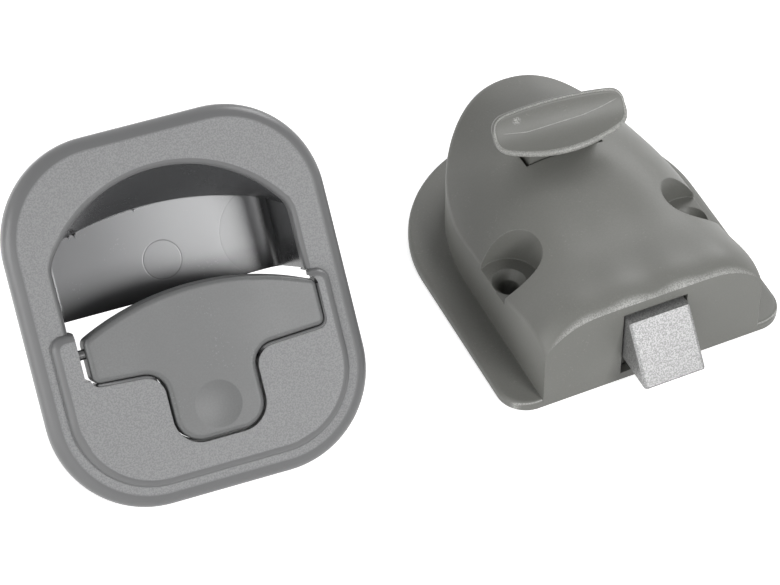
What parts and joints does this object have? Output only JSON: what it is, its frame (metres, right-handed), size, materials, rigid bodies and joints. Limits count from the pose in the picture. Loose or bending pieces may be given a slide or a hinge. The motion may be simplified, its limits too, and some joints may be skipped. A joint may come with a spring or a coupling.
{
  "type": "cabinet lock",
  "caption": "Two-part cabinet door lock: inner case with sprung latch bolt and thumb paddle, outer flush handle with rocker lever and finger cup.",
  "frame": {"origin": "on the underside of the inner case, midway between its two fixing screws", "axes": "+X across the case, -Y the way the latch bolt points, +Z out of the door towards the thumb paddle"},
  "size_m": [0.1747, 0.0948, 0.064],
  "materials": {
    "case_plastic": "smooth satin moulding, warm grey",
    "bezel_plastic": "fine grained face, smooth rounded edges, grey",
    "lever_plastic": "satin, grey",
    "cup_plastic": "smooth semi gloss, grey",
    "dark_plastic": "satin, dark grey",
    "silver_bolt": "silver metallic, finely granular",
    "steel": "zinc plated",
    "spring_steel": "drawn wire",
    "brass_insert": "turned"
  },
  "bodies": {
    "root": {"case_housing": "case_plastic", "case_back_plate": "case_plastic", "back_plate_screws": "steel", "handle_bezel": "bezel_plastic", "finger_cup": "cup_plastic", "lever_pin": "steel", "drive_sleeve": "dark_plastic", "sleeve_screws": "steel", "left_insert": "brass_insert", "right_insert": "brass_insert", "plunger_spring": "spring_steel", "bolt_spring": "spring_steel"},
    "lever": {"rocker_lever": "lever_plastic"},
    "plunger": {"drive_plunger": "dark_plastic", "plunger_clip": "spring_steel"},
    "latch": {"latch_bolt": "silver_bolt", "bolt_slide": "case_plastic", "bolt_pin": "steel", "spring_guide": "steel", "thumb_paddle": "case_plastic", "paddle_screw": "steel"}
  },
  "joints": [
    {"name": "lever_rock", "type": "hinge", "parent": "root", "child": "lever", "pos_m": [-0.10077, 0.00357, 0.03114], "axis": [0.9971, -0.0767, 0], "range_deg": [0, 25], "stiffness_Nm_per_rad": 0.2, "springref_deg": -11.46},
    {"name": "plunger_push", "type": "slide", "parent": "root", "child": "plunger", "axis": [0.0565, 0.7348, -0.676], "range_m": [0, 0.0048], "deforming": ["plunger_spring"]},
    {"name": "latch_slide", "type": "slide", "parent": "root", "child": "latch", "axis": [0, 1, 0], "range_m": [0, 0.01], "stiffness_N_per_m": 250, "springref_m": -0.006, "deforming": ["bolt_spring"]}
  ],
  "couplings": [
    {"joint": "lever_rock", "follows": "plunger_push", "rad_per_m": 90.903}
  ]
}
